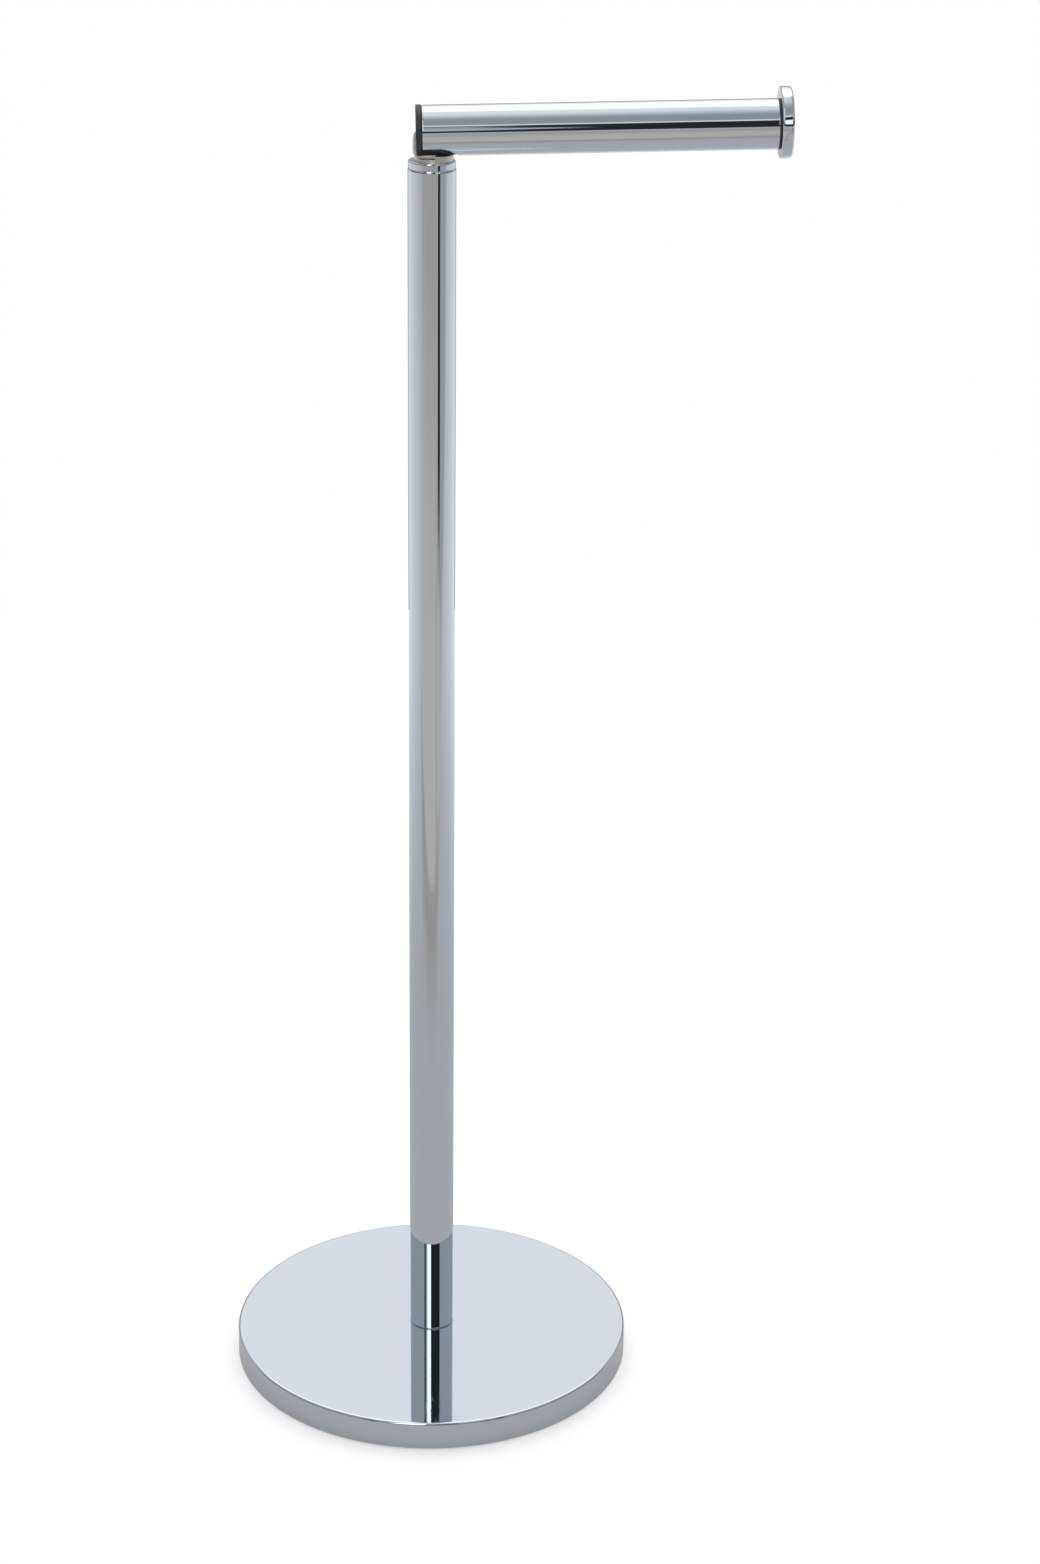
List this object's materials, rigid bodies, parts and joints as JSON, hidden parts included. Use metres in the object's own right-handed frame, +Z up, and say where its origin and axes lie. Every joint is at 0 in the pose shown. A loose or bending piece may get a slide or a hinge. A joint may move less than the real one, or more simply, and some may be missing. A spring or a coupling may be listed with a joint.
{
  "type": "freestanding toilet paper holder",
  "caption": "Freestanding toilet paper holder with a round weighted base, a slim post and a side arm with an end disc. The arm lifts on a hinge at the post's head to take a roll.",
  "frame": {"origin": "on the floor, at the middle of the pad's underside, under the post's axis", "axes": "+Z up the post, +X along the arm at rest"},
  "size_m": [0.2627, 0.2, 0.6508],
  "materials": {
    "chrome": "polished",
    "satin_metal": "satin plated",
    "plated_steel": "plated",
    "cast_iron": "as cast, black",
    "black_plastic": "moulded, semi-matte",
    "black_rubber": "matte sheet"
  },
  "bodies": {
    "stand": {"base_pad": "black_rubber", "base_weight": "cast_iron", "base_cover": "chrome", "base_bolt": "plated_steel", "base_spring_washer": "plated_steel", "base_flat_washer": "plated_steel", "post_bottom_plug": "plated_steel", "post_tube": "chrome", "post_top_cap": "chrome", "knuckle_lock_washer": "plated_steel", "knuckle_screw": "plated_steel", "knuckle": "satin_metal"},
    "arm": {"hinge_pin": "plated_steel", "hinge_washer_front": "black_plastic", "hinge_washer_back": "black_plastic", "hinge_insert": "black_plastic", "arm_tube": "chrome", "end_plug": "black_plastic", "end_cap_stud": "plated_steel", "end_cap": "chrome"}
  },
  "joints": [
    {"name": "arm_lift", "type": "hinge", "parent": "stand", "child": "arm", "pos_m": [-0.0029, 0, 0.62569], "axis": [0, -1, 0], "range_deg": [0, 90]}
  ]
}
